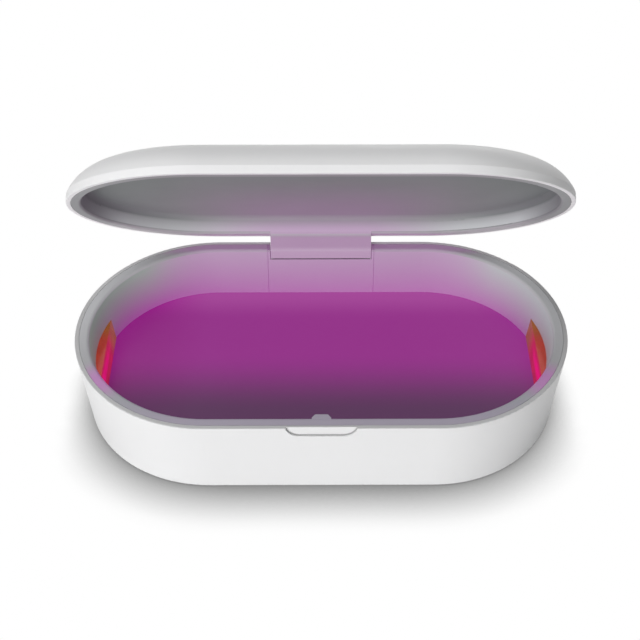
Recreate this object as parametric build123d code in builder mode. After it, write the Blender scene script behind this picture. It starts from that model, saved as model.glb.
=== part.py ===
from build123d import *
from math import atan, cos, degrees, hypot, radians, sin, sqrt, tan
import os

os.makedirs("parts", exist_ok=True)

# Obround sanitizer box, millimetres. X is its length, the front is -Y and +Z is up.
# The origin is the centre of the base where it stands. The lid rests open on its stop.

# Case outline at the parting line
case_length = 228.0
case_width = 127.0
base_height = 42.0
case_draft = 4.5
shell_wall = 2.6
lip_width = 2.0
lip_seam = 0.15
edge_round = 0.4

# Bottom of the base
foot_stand_off = 0.6
foot_width = 4.0
foot_groove = 0.8
foot_inset = 7.0
flange_width = 14.0
flange_thickness = 2.4
bottom_round = 1.2
cover_edge_width = 4.0
cover_edge_thickness = 1.2
cover_thickness = 2.6
assembly_gap = 0.15

# Grey liners
bezel_inset = 6.5
bezel_thickness = 2.0
bezel_round = 1.5
liner_wall = 1.8
liner_draft = 6.5
liner_floor = 2.0
cavity_floor = 16.3

# Lid
open_angle = 50.25
parting_gap = 0.15
lid_band = 3.5
lid_crease = 22.3
lid_shoulder = 20.9
lid_depth = 8.8
lid_liner_wall = 1.6
lid_corner = 3.5
post_diameter = 6.0

# Hinge
hinge_behind = 2.9
hinge_below = 0.5
barrel_radius = 2.6
pin_diameter = 2.0
pin_running_gap = 0.05
lug_width = 50.0
lug_drop = 5.0
lug_crease = 0.9
lug_clearance = 0.3
ear_width = 5.0
ear_front = 1.4
ear_root_drop = 20.5
ear_heel_drop = 5.5
ear_pocket = 7.0
apron_drop = 6.6
apron_thickness = 2.2
washer_thickness = 0.3
washer_gap = 0.05
washer_width = 1.4
stop_gap = 0.03
stop_rise = 2.4
trough_wall = 1.5
panel_margin = 1.1

# Front: thumb scoop and interlock bump
scoop_width = 31.0
scoop_drop = 5.3
scoop_end = 12.4
scoop_depth = 1.0
bump_root_width = 8.4
bump_tip_width = 5.6
bump_reach = 2.0
bump_round = 0.8
bump_face = 6.0
bump_height = 11.0
bump_wall = 1.2
sensor_size = (4.0, 1.6, 3.0)
magnet_size = (12.0, 1.4, 2.0)
magnet_inset = 3.3

# Lamps
lamp_depth = 13.7
lamp_height = 11.7
lamp_cover_wall = 0.8
lamp_fit = 0.05
tube_diameter = 2.6
tube_length = 30.0
tube_behind_face = 3.0
tube_bore_gap = 0.02
holder_length = 4.0
holder_overlap = 2.0
holder_width = 3.6
channel_height = 7.2
channel_sheet = 0.4
lamp_window_gap = 0.3
shelf_inset = 6.0
shelf_margin = 3.5

# Board and rear connectors
board_size = (84.0, 62.0, 1.6)
board_clearance = 0.4
board_notch = (24.0, 2.6)
post_height = 2.8
post_size = 6.0
post_inset = (5.0, 6.0)
connector_rise = 1.63
rear_pad_inset = 6.9
rear_pad_height = 14.0
rear_pad_x = (-9.0, 38.0)
usb_size = (8.94, 7.35, 3.26)
usb_overhang = 1.8
usb_wall = 0.3
usb_recess = (13.0, 7.0)
usb_recess_inset = 4.9
button_x = 18.0
button_diameter = 6.5
button_travel = 0.5
button_proud = 0.8
button_gap = 0.2
button_flange = 1.2
switch_size = (6.2, 3.7, 4.0)
switch_free = 0.5
stem_diameter = 2.0
light_x = 30.0
light_diameter = 2.5
light_collar = 4.2
fit_gap = 0.05

# Screws
boss_diameter = 7.0
boss_board_clearance = 5.0
boss_side_inset = 25.5
boss_end_inset = 26.0
screw_diameter = 3.0
screw_length = 8.0
screw_head = (5.5, 1.4)
board_screw_diameter = 2.0
board_screw_length = 2.6
board_screw_head = (3.6, 1.2)
thread_gap = 0.02

# Leads
lead_diameter = 1.2
lead_height = 9.6
connector_size = (6.0, 5.0, 3.2)
connector_offsets = (-11.2, -2.2)
lamp_lead_bend = (32.0, 14.0)
lamp_lead_swing = 3.0
lamp_lead_rounds = [4.0, 12.0, 6.0]
sensor_lead_inset = 4.0
sensor_lead_bends = ((5.1, 24.0), (7.0, 12.0))
sensor_lead_landing = 32.2
sensor_lead_rounds = [1.2, 12.0, 5.0, 12.0]

# Pieces soldered to the board
controller_size = (9.0, 9.0, 1.2)
controller_place = (-12.0, 8.8)
driver_size = (5.0, 4.0, 1.2)
driver_places = ((8.0, 10.8), (8.0, 2.8))
capacitor_diameter = 5.0
capacitor_height = 5.2
capacitor_places = ((-26.0, 2.8), (-26.0, 11.8))
transformer_place = (0.0, -17.2)
transformer_base = (28.0, 14.0, 1.4)
transformer_core = (24.0, 9.0, 4.4)
transformer_cheek = (3.0, 12.0)
usb_tongue = (6.7, 0.7)
usb_corner = 1.3
usb_back_wall = 1.0
led_size = (3.2, 1.6, 2.8)
pipe_inside = 2.0
pipe_proud = 0.2
collar_thickness = 1.0
stem_guide = 1.3
button_lip = 1.2

# Worked-out places
half_width = case_width / 2
end_centre = (case_length - case_width) / 2
liner_slope = tan(radians(liner_draft))
case_slope = tan(radians(case_draft))
cavity_depth = base_height - cavity_floor
hinge_y = half_width + hinge_behind
hinge_z = base_height - hinge_below
shell_floor = foot_stand_off + flange_thickness
cover_top = foot_stand_off + cover_thickness
board_bottom = cover_top + post_height
board_top = board_bottom + board_size[2]
connector_z = board_top + connector_rise
rear_pad_y = half_width - rear_pad_inset
usb_recess_floor = half_width - usb_recess_inset
board_back = rear_pad_y - board_clearance
board_front = board_back - board_size[1]
board_middle = board_back - board_size[1] / 2
board_side = board_size[0] / 2
bottom_inset = (base_height - foot_stand_off) * case_slope
opening_inset = bottom_inset + flange_width
lamp_face = case_length / 2 - lamp_depth
tube_x = lamp_face + tube_behind_face
tube_z = cavity_floor + channel_height / 2
bezel_outer = lip_width + lip_seam
lug_half = lug_width / 2
notch_half = lug_half + lug_clearance
ear_outer = lug_half - lug_clearance
ear_inner = ear_outer - ear_width
knuckle_half = ear_inner - washer_thickness - 2 * washer_gap

rim = Plane.XY.offset(base_height)
side_plane = Plane.YZ
hinge_line = Location((0, hinge_y, hinge_z))
opening_turn = hinge_line * Rotation(-open_angle, 0, 0) * hinge_line.inverse()
lid_rim = Plane(opening_turn * Plane.XY.offset(base_height + parting_gap).location)


def inner_wall_y(z):
    """Y of the cavity's back wall at height z."""
    return half_width - bezel_inset - (base_height - z) * liner_slope


def shell_y(z, wall):
    """Y of the back of the case at height z, at a depth of wall inside its outer face."""
    return half_width - wall - (base_height - z) * case_slope


def obround(inset):
    """Case outline, drawn in by inset all round."""
    return SlotOverall(case_length - 2 * inset, case_width - 2 * inset)


def tapered(plane, inset, height, draft, mode=Mode.ADD):
    """Obround that leaves the plane and leans in by the draft."""
    with BuildSketch(plane) as outline:
        obround(inset)
    extrude(outline.sketch, amount=height, taper=draft, mode=mode)


def lid_dome(wall, mode=Mode.ADD):
    """Outer form of the lid, a depth of wall inside its skin: band, crease, shoulder, flat top."""
    arc_inset = lid_shoulder * cos(radians(lid_crease))
    arc_up = lid_band - lid_shoulder * sin(radians(lid_crease))
    radius = lid_shoulder - wall
    start = degrees(acos_of((arc_inset - wall) / radius))
    for side in (1, -1):
        end = Plane(
            origin=lid_rim.origin + lid_rim.x_dir * side * end_centre,
            x_dir=lid_rim.y_dir * -side,
            z_dir=lid_rim.x_dir * -side,
        )
        with BuildSketch(end) as half:
            with BuildLine():
                centre = (half_width - arc_inset, arc_up)
                shoulder = CenterArc(centre, radius, start, 90 - start)
                crease = shoulder @ 0
                top = shoulder @ 1
                Polyline(top, (0, top.Y), (0, 0), (half_width - wall, 0), crease)
            make_face()
        revolve(half.sketch, axis=Axis(end.origin, lid_rim.z_dir), revolution_arc=180, mode=mode)
        extrude(half.sketch, amount=2 * end_centre, mode=mode)


def lid_point(y, up):
    """Y and Z, with the lid open, of a point at y and a height above the closed lid's rim."""
    point = lid_rim.origin + lid_rim.y_dir * y + lid_rim.z_dir * up
    return (point.Y, point.Z)


def acos_of(value):
    """Angle in radians whose cosine is value, from 0 to 90 degrees."""
    return atan(sqrt(1 - value * value) / value)


# ---- Base shell ----
boss_y = half_width - boss_side_inset
boss_x = board_side + boss_board_clearance + boss_diameter / 2
boss_places = [(x, y) for x in (boss_x, -boss_x) for y in (boss_y, -boss_y)]
boss_places += [(side * (case_length / 2 - boss_end_inset), 0) for side in (1, -1)]
notch_y = inner_wall_y(base_height - lug_drop)
lug_reach = hypot(hinge_y - notch_y, lug_drop - hinge_below)
notch_radius = lug_reach + lug_clearance
stop_direction = 180 - open_angle
ear_root_y = shell_y(hinge_z - notch_radius, shell_wall / 2)

with BuildPart() as base_shell:
    tapered(rim, 0, -(base_height - foot_stand_off), case_draft)
    fillet(base_shell.edges().group_by(Axis.Z)[0], bottom_round)
    fillet(base_shell.edges().group_by(Axis.Z)[-1], edge_round)
    tapered(rim, shell_wall, -(base_height - shell_floor), case_draft, Mode.SUBTRACT)
    with BuildSketch(rim):
        obround(lip_width)
    extrude(amount=-bezel_thickness, mode=Mode.SUBTRACT)
    # Opening in the bottom, the step that the cover sits in and the groove for the foot ring
    with BuildSketch(Plane.XY):
        obround(opening_inset)
    extrude(amount=shell_floor, mode=Mode.SUBTRACT)
    with BuildSketch(Plane.XY):
        obround(opening_inset - cover_edge_width)
    extrude(amount=foot_stand_off + cover_edge_thickness, mode=Mode.SUBTRACT)
    with BuildSketch(Plane.XY.offset(foot_stand_off)):
        obround(bottom_inset + foot_inset - foot_width / 2)
        SlotOverall(
            case_length - 2 * (bottom_inset + foot_inset + foot_width / 2),
            case_width - 2 * (bottom_inset + foot_inset + foot_width / 2),
            mode=Mode.SUBTRACT,
        )
    extrude(amount=foot_groove, mode=Mode.SUBTRACT)
    # Pad inside the back wall, square to the connectors
    with BuildSketch(Plane.XY.offset(shell_floor)):
        with Locations((rear_pad_x[0], rear_pad_y)):
            Rectangle(
                rear_pad_x[1] - rear_pad_x[0],
                shell_y(shell_floor, shell_wall / 2) - rear_pad_y,
                align=(Align.MIN, Align.MIN),
            )
    extrude(amount=rear_pad_height - shell_floor)
    # Notch that the hinge lug swings in
    with BuildSketch(side_plane):
        with Locations((hinge_y, hinge_z)):
            Circle(notch_radius)
    extrude(amount=notch_half, both=True, mode=Mode.SUBTRACT)
    # Hinge ears behind the lug, each with the nib that stops the lid
    for side in (1, -1):
        with BuildSketch(side_plane.offset(side * ear_inner)):
            with Locations((hinge_y, hinge_z)):
                Circle(barrel_radius)
                Rectangle(
                    hinge_behind - stop_gap,
                    stop_rise,
                    rotation=stop_direction,
                    align=(Align.MIN, Align.MAX),
                )
            with BuildLine():
                Polyline(
                    (hinge_y - ear_front, hinge_z),
                    (hinge_y - ear_front, hinge_z - notch_radius),
                    (ear_root_y, hinge_z - notch_radius),
                    (ear_root_y, hinge_z - ear_root_drop),
                    (hinge_y + barrel_radius, hinge_z - ear_heel_drop),
                    (hinge_y + barrel_radius, hinge_z),
                    close=True,
                )
            make_face()
        extrude(amount=side * ear_width)
    # Apron across the notch, behind the foot of the lug
    with BuildSketch(side_plane):
        with BuildLine():
            Polyline(
                (hinge_y - ear_front, hinge_z - apron_drop),
                (hinge_y - ear_front, hinge_z - notch_radius),
                (ear_root_y, hinge_z - notch_radius),
                (ear_root_y, hinge_z - ear_root_drop),
                (hinge_y - ear_front + apron_thickness, hinge_z - notch_radius),
                (hinge_y - ear_front + apron_thickness, hinge_z - apron_drop),
                close=True,
            )
        make_face()
    extrude(amount=notch_half, both=True)
    # Bore for the pin, pressed in
    with BuildSketch(side_plane):
        with Locations((hinge_y, hinge_z)):
            Circle(pin_diameter / 2)
    extrude(amount=lug_half, both=True, mode=Mode.SUBTRACT)
    # Thumb scoop in the front lip
    scoop_floor = Plane(
        origin=(0, scoop_depth - half_width, base_height),
        x_dir=(1, 0, 0),
        z_dir=(0, -cos(radians(case_draft)), -sin(radians(case_draft))),
    )
    with BuildSketch(scoop_floor):
        with Locations((0, scoop_end / 2 - scoop_drop)):
            SlotOverall(scoop_width, scoop_end)
    extrude(amount=2 * scoop_depth, mode=Mode.SUBTRACT)
    # Holes in the back wall: power button, light pipe, power inlet with its recess
    with BuildSketch(Plane.XZ):
        with Locations((button_x, connector_z)):
            Circle(button_diameter / 2 + button_gap)
        with Locations((light_x, connector_z)):
            Circle(light_diameter / 2 + fit_gap)
        with Locations((0, connector_z)):
            RectangleRounded(usb_size[0] + 4 * fit_gap, usb_size[2] + 4 * fit_gap, usb_size[2] / 2)
    extrude(amount=-case_width, mode=Mode.SUBTRACT)
    with BuildSketch(Plane.XZ.offset(-usb_recess_floor)):
        with Locations((0, connector_z)):
            SlotOverall(usb_recess[0], usb_recess[1])
    extrude(amount=-case_width, mode=Mode.SUBTRACT)
base_shell.part.label = "base_shell"
export_step(base_shell.part, "parts/base_shell.step")

# ---- Interlock bump on the front of the liner ----
front_wall_y = -(half_width - bezel_inset)
bump_tip_y = front_wall_y + bump_reach
bump_root_y = front_wall_y - liner_wall / 2

with BuildPart() as sensor_bump:
    with BuildSketch(side_plane):
        with BuildLine():
            Polyline(
                (bump_root_y, base_height),
                (bump_tip_y, base_height),
                (bump_tip_y, base_height - bump_face),
                (front_wall_y + bump_height * liner_slope, base_height - bump_height),
                (bump_root_y, base_height - bump_height),
                close=True,
            )
        make_face()
    extrude(amount=bump_root_width, both=True)
    with BuildSketch(rim):
        with BuildLine():
            Polyline(
                (-bump_root_width / 2, bump_root_y),
                (-bump_root_width / 2, front_wall_y),
                (-bump_tip_width / 2, bump_tip_y),
                (bump_tip_width / 2, bump_tip_y),
                (bump_root_width / 2, front_wall_y),
                (bump_root_width / 2, bump_root_y),
                close=True,
            )
        make_face()
    extrude(amount=-bump_height, mode=Mode.INTERSECT)
    tip_edges = sensor_bump.edges().filter_by(Axis.Z).group_by(Axis.Y)[-1]
    fillet(tip_edges, bump_round)

# ---- Base liner ----
liner_bottom = cavity_floor - liner_floor
channel_half = tube_length / 2 - holder_overlap + holder_length
panel_half = notch_half + panel_margin

with BuildPart() as base_liner:
    with BuildSketch(rim):
        obround(bezel_outer)
    extrude(amount=-bezel_thickness)
    tapered(rim, bezel_inset - liner_wall, -(base_height - liner_bottom), liner_draft)
    # Shelves at both ends that carry the lamps
    with BuildSketch(Plane.XY.offset(liner_bottom)):
        obround(shelf_inset)
        Rectangle(2 * lamp_face, case_width, mode=Mode.SUBTRACT)
        Rectangle(case_length, 2 * (channel_half + shelf_margin), mode=Mode.INTERSECT)
    extrude(amount=liner_floor)
    # Bosses for the cover screws
    with BuildSketch(Plane.XY.offset(cover_top)):
        with Locations(*boss_places):
            Circle(boss_diameter / 2)
    extrude(amount=liner_bottom - cover_top)
    tapered(rim, bezel_inset, -cavity_depth, liner_draft, Mode.SUBTRACT)
    inner_rim = base_liner.faces().sort_by(Axis.Z)[-1].inner_wires()[0].edges()
    fillet(inner_rim, bezel_round)
    add(sensor_bump.part)
    # Pocket behind the bump for the sensor
    with BuildSketch(rim.offset(-bump_wall)):
        with Locations((0, bump_tip_y - bump_wall)):
            Rectangle(sensor_size[0] + 4 * fit_gap, 2 * bump_reach, align=(Align.CENTER, Align.MAX))
    extrude(amount=-(bump_face - bump_wall), mode=Mode.SUBTRACT)
    # Window in the back wall for the hinge panel
    with BuildSketch(Plane.XY.offset(cavity_floor)):
        Rectangle(2 * (panel_half + assembly_gap), case_width, align=(Align.CENTER, Align.MIN))
    extrude(amount=base_height, mode=Mode.SUBTRACT)
    # Windows in the end walls for the lamps, and holes for their leads
    with BuildSketch(Plane.XY.offset(cavity_floor)):
        Rectangle(case_length, 2 * (channel_half + lamp_window_gap))
    extrude(amount=channel_height + lamp_window_gap, mode=Mode.SUBTRACT)
    with BuildSketch(Plane.XY.offset(liner_bottom)):
        with GridLocations(2 * tube_x, tube_length, 2, 2):
            Circle(lead_diameter / 2 + fit_gap)
    extrude(amount=liner_floor, mode=Mode.SUBTRACT)
    with BuildSketch(Plane.XY.offset(cover_top)):
        with Locations(*boss_places):
            Circle(screw_diameter / 2 + thread_gap)
    extrude(amount=screw_length, mode=Mode.SUBTRACT)
base_liner.part.label = "base_liner"
export_step(base_liner.part, "parts/base_liner.step")

# ---- Hinge panel with its trough ----
block_bottom = hinge_z - notch_radius - trough_wall

with BuildPart() as hinge_panel:
    with BuildSketch(side_plane):
        with BuildLine():
            Polyline(
                (inner_wall_y(base_height), base_height),
                (shell_y(base_height, shell_wall) - assembly_gap, base_height),
                (shell_y(block_bottom, shell_wall) - assembly_gap, block_bottom),
                (inner_wall_y(block_bottom), block_bottom),
                close=True,
            )
        make_face()
        with Locations((hinge_y, hinge_z)):
            Circle(notch_radius + trough_wall, mode=Mode.INTERSECT)
        with BuildLine():
            Polyline(
                (inner_wall_y(base_height), base_height),
                (half_width - bezel_outer, base_height),
                (half_width - bezel_outer, base_height - bezel_thickness),
                (inner_wall_y(base_height) + liner_wall, base_height - bezel_thickness),
                (inner_wall_y(cavity_floor) + liner_wall, cavity_floor),
                (inner_wall_y(cavity_floor), cavity_floor),
                close=True,
            )
        make_face()
    extrude(amount=panel_half, both=True)
    with BuildSketch(side_plane):
        with Locations((hinge_y, hinge_z)):
            Circle(notch_radius)
    extrude(amount=notch_half, both=True, mode=Mode.SUBTRACT)
hinge_panel.part.label = "hinge_panel"
export_step(hinge_panel.part, "parts/hinge_panel.step")

# ---- Bottom cover ----
post_grid = (board_size[0] - 2 * post_inset[0], board_size[1] - 4 * post_inset[1])
board_centre = Location((0, board_middle, 0))

with BuildPart() as bottom_cover:
    with BuildSketch(Plane.XY.offset(foot_stand_off)):
        obround(opening_inset - cover_edge_width + assembly_gap)
    extrude(amount=cover_edge_thickness)
    with BuildSketch(Plane.XY.offset(foot_stand_off)):
        obround(opening_inset + assembly_gap)
    extrude(amount=cover_thickness)
    with BuildSketch(Plane.XY.offset(cover_top)):
        with Locations(board_centre):
            with GridLocations(post_grid[0], post_grid[1], 2, 2):
                Circle(post_size / 2)
    extrude(amount=post_height)
    with BuildSketch(Plane.XY.offset(board_bottom)):
        with Locations(board_centre):
            with GridLocations(post_grid[0], post_grid[1], 2, 2):
                Circle(board_screw_diameter / 2 + thread_gap)
    extrude(amount=-board_screw_length, mode=Mode.SUBTRACT)
    with Locations(Plane.XY.offset(foot_stand_off)):
        with Locations(*[Location((x, y, 0), (180, 0, 0)) for x, y in boss_places]):
            CounterBoreHole(
                screw_diameter / 2 + assembly_gap,
                screw_head[0] / 2 + assembly_gap,
                screw_head[1] + assembly_gap,
                cover_thickness,
            )
bottom_cover.part.label = "bottom_cover"
export_step(bottom_cover.part, "parts/bottom_cover.step")

# ---- Foot ring ----
with BuildPart() as foot_ring:
    ring_inset = bottom_inset + foot_inset
    with BuildSketch(Plane.XY):
        obround(ring_inset - foot_width / 2 + fit_gap)
        SlotOverall(
            case_length - 2 * (ring_inset + foot_width / 2 - fit_gap),
            case_width - 2 * (ring_inset + foot_width / 2 - fit_gap),
            mode=Mode.SUBTRACT,
        )
    extrude(amount=foot_stand_off + foot_groove)
foot_ring.part.label = "foot_ring"
export_step(foot_ring.part, "parts/foot_ring.step")

# ---- Screws ----
head_seat = foot_stand_off + screw_head[1] + assembly_gap

with BuildPart() as cover_screws:
    with BuildSketch(Plane.XY.offset(head_seat)):
        with Locations(*boss_places):
            Circle(screw_head[0] / 2)
    extrude(amount=-screw_head[1])
    with BuildSketch(Plane.XY.offset(head_seat)):
        with Locations(*boss_places):
            Circle(screw_diameter / 2)
    extrude(amount=screw_length)
cover_screws.part.label = "cover_screws"
export_step(cover_screws.part, "parts/cover_screws.step")

with BuildPart() as board_screws:
    with BuildSketch(Plane.XY.offset(board_top)):
        with Locations(board_centre):
            with GridLocations(post_grid[0], post_grid[1], 2, 2):
                Circle(board_screw_head[0] / 2)
    extrude(amount=board_screw_head[1])
    with BuildSketch(Plane.XY.offset(board_top)):
        with Locations(board_centre):
            with GridLocations(post_grid[0], post_grid[1], 2, 2):
                Circle(board_screw_diameter / 2)
    extrude(amount=-(board_size[2] + board_screw_length - thread_gap))
board_screws.part.label = "board_screws"
export_step(board_screws.part, "parts/board_screws.step")

# ---- Control board and what it carries ----
with BuildPart() as control_board:
    with BuildSketch(Plane.XY.offset(board_bottom)):
        with Locations(board_centre):
            Rectangle(board_size[0], board_size[1])
            with GridLocations(post_grid[0], post_grid[1], 2, 2):
                Circle(board_screw_diameter / 2 + assembly_gap, mode=Mode.SUBTRACT)
        with Locations(((button_x + light_x) / 2, board_back)):
            Rectangle(*board_notch, align=(Align.CENTER, Align.MAX), mode=Mode.SUBTRACT)
    extrude(amount=board_size[2])
control_board.part.label = "control_board"
export_step(control_board.part, "parts/control_board.step")

with BuildPart() as board_chips:
    with BuildSketch(Plane.XY.offset(board_top)):
        with Locations(board_centre), Locations(controller_place):
            Rectangle(controller_size[0], controller_size[1])
    extrude(amount=controller_size[2])
    with BuildSketch(Plane.XY.offset(board_top)):
        with Locations(board_centre), Locations(*driver_places):
            Rectangle(driver_size[0], driver_size[1])
    extrude(amount=driver_size[2])
    with BuildSketch(Plane.XY.offset(board_top)):
        with Locations(board_centre), Locations(*capacitor_places):
            Circle(capacitor_diameter / 2)
    extrude(amount=capacitor_height)
board_chips.part.label = "board_chips"
export_step(board_chips.part, "parts/board_chips.step")

with BuildPart() as lamp_transformer:
    with BuildSketch(Plane.XY.offset(board_top)):
        with Locations(board_centre), Locations(transformer_place):
            Rectangle(transformer_base[0], transformer_base[1])
    extrude(amount=transformer_base[2])
    core_plane = Plane.XY.offset(board_top + transformer_base[2])
    with BuildSketch(core_plane):
        with Locations(board_centre), Locations(transformer_place):
            Rectangle(transformer_core[0], transformer_core[1])
            with GridLocations(transformer_core[0] - transformer_cheek[0], 0, 2, 1):
                Rectangle(*transformer_cheek)
    extrude(amount=transformer_core[2])
lamp_transformer.part.label = "lamp_transformer"
export_step(lamp_transformer.part, "parts/lamp_transformer.step")

connector_x = board_side - connector_size[0] / 2
connector_y = [board_middle + offset for offset in connector_offsets]

with BuildPart() as lamp_connectors:
    with BuildSketch(Plane.XY.offset(board_top)):
        for side in (1, -1):
            with Locations(*[(side * connector_x, y) for y in connector_y]):
                Rectangle(connector_size[0], connector_size[1])
    extrude(amount=connector_size[2])
lamp_connectors.part.label = "lamp_connectors"
export_step(lamp_connectors.part, "parts/lamp_connectors.step")

# ---- Power inlet ----
usb_mouth = board_back + usb_overhang

with BuildPart() as usb_c_socket:
    with BuildSketch(Plane.XZ.offset(-usb_mouth)):
        with Locations((0, connector_z)):
            RectangleRounded(usb_size[0], usb_size[2], usb_corner)
    extrude(amount=usb_size[1])
    with BuildSketch(Plane.XZ.offset(-usb_mouth)):
        with Locations((0, connector_z)):
            RectangleRounded(usb_size[0] - 2 * usb_wall, usb_size[2] - 2 * usb_wall, usb_corner - usb_wall)
    extrude(amount=usb_size[1] - usb_back_wall, mode=Mode.SUBTRACT)
    with BuildSketch(Plane.XZ.offset(-usb_mouth + usb_back_wall)):
        with Locations((0, connector_z)):
            Rectangle(*usb_tongue)
    extrude(amount=usb_size[1] - usb_back_wall)
usb_c_socket.part.label = "usb_c_socket"
export_step(usb_c_socket.part, "parts/usb_c_socket.step")

# ---- Power button and its switch ----
flange_front = rear_pad_y - button_gap
flange_back = flange_front - button_flange
switch_front = flange_back - button_travel - switch_free
stem_length = flange_back - switch_front + stem_guide

with BuildPart() as power_button:
    with BuildSketch(Plane.XZ.offset(-flange_back)):
        with Locations((button_x, connector_z)):
            Circle(button_diameter / 2 + button_lip)
    extrude(amount=-button_flange)
    with BuildSketch(Plane.XZ.offset(-flange_front)):
        with Locations((button_x, connector_z)):
            Circle(button_diameter / 2)
    extrude(amount=-(shell_y(connector_z, 0) + button_proud - flange_front))
    fillet(power_button.edges().sort_by(Axis.Y)[-1], edge_round)
power_button.part.label = "power_button"
export_step(power_button.part, "parts/power_button.step")

with BuildPart() as switch_stem:
    with BuildSketch(Plane.XZ.offset(-flange_back)):
        with Locations((button_x, connector_z)):
            Circle(stem_diameter / 2)
    extrude(amount=stem_length)
switch_stem.part.label = "switch_stem"
export_step(switch_stem.part, "parts/switch_stem.step")

with BuildPart() as tact_switch:
    with BuildSketch(Plane.XY.offset(board_top)):
        with Locations((button_x, switch_front)):
            Rectangle(switch_size[0], switch_size[1], align=(Align.CENTER, Align.MAX))
    extrude(amount=switch_size[2])
    with BuildSketch(Plane.XZ.offset(-switch_front)):
        with Locations((button_x, connector_z)):
            Circle(stem_diameter / 2 + fit_gap)
    extrude(amount=stem_length, mode=Mode.SUBTRACT)
tact_switch.part.label = "tact_switch"
export_step(tact_switch.part, "parts/tact_switch.step")

# ---- Status light ----
pipe_back = rear_pad_y - pipe_inside

with BuildPart() as light_pipe:
    with BuildSketch(Plane.XZ.offset(-pipe_back)):
        with Locations((light_x, connector_z)):
            Circle(light_diameter / 2)
    extrude(amount=-(shell_y(connector_z, 0) + pipe_proud - pipe_back))
    with BuildSketch(Plane.XZ.offset(-rear_pad_y)):
        with Locations((light_x, connector_z)):
            Circle(light_collar / 2)
    extrude(amount=collar_thickness)
light_pipe.part.label = "light_pipe"
export_step(light_pipe.part, "parts/light_pipe.step")

with BuildPart() as status_led:
    with BuildSketch(Plane.XY.offset(board_top)):
        with Locations((light_x, pipe_back - fit_gap)):
            Rectangle(led_size[0], led_size[1], align=(Align.CENTER, Align.MAX))
    extrude(amount=led_size[2])
status_led.part.label = "status_led"
export_step(status_led.part, "parts/status_led.step")

# ---- Interlock sensor and its cable ----
sensor_front = bump_tip_y - bump_wall
sensor_top = base_height - bump_wall
sensor_bottom = sensor_top - sensor_size[2]

with BuildPart() as hall_sensor:
    with BuildSketch(Plane.XY.offset(sensor_bottom)):
        with Locations((0, sensor_front)):
            Rectangle(sensor_size[0], sensor_size[1], align=(Align.CENTER, Align.MAX))
    extrude(amount=sensor_size[2])
hall_sensor.part.label = "hall_sensor"
export_step(hall_sensor.part, "parts/hall_sensor.step")

sensor_back = sensor_front - sensor_size[1]
sensor_mid = sensor_bottom + sensor_size[2] / 2
sensor_lead_points = [
    (0, sensor_back, sensor_mid),
    (0, sensor_lead_inset - half_width, sensor_mid),
    *[(0, inset - half_width, height) for inset, height in sensor_lead_bends],
    (0, board_front - sensor_lead_landing, lead_height),
    (0, board_front, lead_height),
]

with BuildPart() as sensor_lead:
    with BuildLine():
        FilletPolyline(*sensor_lead_points, radius=sensor_lead_rounds)
    with BuildSketch(Plane(origin=sensor_lead_points[0], z_dir=(0, -1, 0))):
        Circle(lead_diameter / 2)
    sweep()
sensor_lead.part.label = "sensor_lead"
export_step(sensor_lead.part, "parts/sensor_lead.step")

# ---- Lamps, one at each end ----
channel_back = tube_x + holder_width / 2 + channel_sheet
channel_front = tube_x - tube_diameter / 2
holder_span = channel_back - channel_sheet - channel_front

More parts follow.
